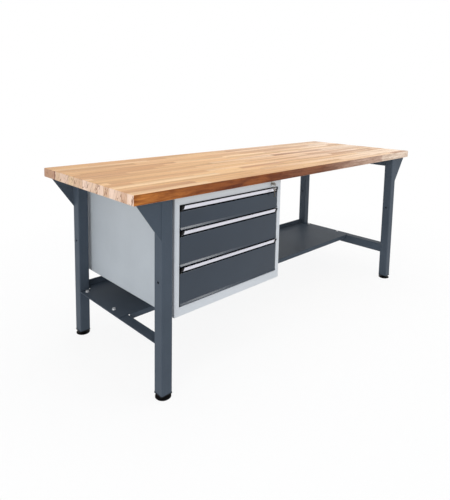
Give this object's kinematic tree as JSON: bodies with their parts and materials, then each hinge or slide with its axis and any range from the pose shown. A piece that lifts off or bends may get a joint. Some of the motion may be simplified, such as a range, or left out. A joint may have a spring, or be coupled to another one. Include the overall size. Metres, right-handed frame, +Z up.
{
  "type": "workbench with drawer cabinet",
  "caption": "workshop bench with a thick glued timber top on square tube legs, a half-depth lower shelf, levelling feet and a hanging steel cabinet of locking drawers",
  "frame": {"origin": "on the floor under the middle of the worktop", "axes": "X along the bench to the right as seen from the front, Y from front to back, Z up"},
  "size_m": [2.1, 0.74, 0.83],
  "materials": {
    "wood": "oiled glued hardwood staves",
    "frame_paint": "fine-textured slate powder coat",
    "front_paint": "fine-textured dark slate powder coat",
    "cabinet_paint": "fine-textured light grey powder coat",
    "tray_paint": "smooth grey coat",
    "aluminium": "anodised, fine lengthwise brushing",
    "black_plastic": "moulded, matt",
    "zinc": "zinc plated",
    "lock_chrome": "nickel plated",
    "key_steel": "nickel-plated key blank"
  },
  "bodies": {
    "bench": {"bottom_rail_left": "frame_paint", "bottom_rail_right": "frame_paint", "cabinet_back": "cabinet_paint", "cabinet_bottom": "cabinet_paint", "cabinet_front_frame": "cabinet_paint", "cabinet_side_left": "cabinet_paint", "cabinet_side_right": "cabinet_paint", "gusset_front_left": "frame_paint", "gusset_front_right": "frame_paint", "gusset_rear_left": "frame_paint", "gusset_rear_right": "frame_paint", "leg_front_left": "frame_paint", "leg_front_right": "frame_paint", "leg_plugs": "black_plastic", "leg_rear_left": "frame_paint", "leg_rear_right": "frame_paint", "lock_barrel": "lock_chrome", "runner_fixed_bottom": "zinc", "runner_fixed_middle": "zinc", "runner_fixed_top": "zinc", "runner_posts": "zinc", "shelf": "frame_paint", "shelf_bolts": "zinc", "shelf_nuts": "zinc", "shelf_washers": "zinc", "top_rail_left": "frame_paint", "top_rail_right": "frame_paint", "worktop": "wood", "worktop_screws": "zinc"},
    "drawer_top": {"drawer_front_top": "front_paint", "drawer_handle_top": "aluminium", "handle_caps_top": "black_plastic", "drawer_tray_top": "tray_paint", "runner_inner_top": "zinc"},
    "slider_top": {"runner_middle_top": "zinc"},
    "drawer_middle": {"drawer_front_middle": "front_paint", "drawer_handle_middle": "aluminium", "handle_caps_middle": "black_plastic", "drawer_tray_middle": "tray_paint", "runner_inner_middle": "zinc"},
    "slider_middle": {"runner_middle_middle": "zinc"},
    "drawer_bottom": {"drawer_front_bottom": "front_paint", "drawer_handle_bottom": "aluminium", "handle_caps_bottom": "black_plastic", "drawer_tray_bottom": "tray_paint", "runner_inner_bottom": "zinc"},
    "slider_bottom": {"runner_middle_bottom": "zinc"},
    "foot_front_left": {"foot_pad_front_left": "black_plastic", "foot_stem_front_left": "zinc"},
    "foot_rear_left": {"foot_pad_rear_left": "black_plastic", "foot_stem_rear_left": "zinc"},
    "foot_front_right": {"foot_pad_front_right": "black_plastic", "foot_stem_front_right": "zinc"},
    "foot_rear_right": {"foot_pad_rear_right": "black_plastic", "foot_stem_rear_right": "zinc"},
    "lock": {"lock_plug": "lock_chrome", "lock_cam": "zinc", "key": "key_steel"}
  },
  "joints": [
    {"name": "drawer_top_slide", "type": "slide", "parent": "bench", "child": "drawer_top", "axis": [0, -1, 0], "range_m": [0, 0.5]},
    {"name": "slider_top_slide", "type": "slide", "parent": "bench", "child": "slider_top", "axis": [0, -1, 0], "range_m": [0, 0.25]},
    {"name": "drawer_middle_slide", "type": "slide", "parent": "bench", "child": "drawer_middle", "axis": [0, -1, 0], "range_m": [0, 0.5]},
    {"name": "slider_middle_slide", "type": "slide", "parent": "bench", "child": "slider_middle", "axis": [0, -1, 0], "range_m": [0, 0.25]},
    {"name": "drawer_bottom_slide", "type": "slide", "parent": "bench", "child": "drawer_bottom", "axis": [0, -1, 0], "range_m": [0, 0.5]},
    {"name": "slider_bottom_slide", "type": "slide", "parent": "bench", "child": "slider_bottom", "axis": [0, -1, 0], "range_m": [0, 0.25]},
    {"name": "foot_front_left_level", "type": "slide", "parent": "bench", "child": "foot_front_left", "axis": [0, 0, -1], "range_m": [0, 0.02]},
    {"name": "foot_rear_left_level", "type": "slide", "parent": "bench", "child": "foot_rear_left", "axis": [0, 0, -1], "range_m": [0, 0.02]},
    {"name": "foot_front_right_level", "type": "slide", "parent": "bench", "child": "foot_front_right", "axis": [0, 0, -1], "range_m": [0, 0.02]},
    {"name": "foot_rear_right_level", "type": "slide", "parent": "bench", "child": "foot_rear_right", "axis": [0, 0, -1], "range_m": [0, 0.02]},
    {"name": "lock_turn", "type": "hinge", "parent": "bench", "child": "lock", "pos_m": [-0.288, -0.341, 0.7725], "axis": [0, -1, 0], "range_deg": [0, 90]}
  ],
  "couplings": [
    {"joint": "slider_top_slide", "follows": "drawer_top_slide", "ratio": 0.5},
    {"joint": "slider_middle_slide", "follows": "drawer_middle_slide", "ratio": 0.5},
    {"joint": "slider_bottom_slide", "follows": "drawer_bottom_slide", "ratio": 0.5}
  ]
}
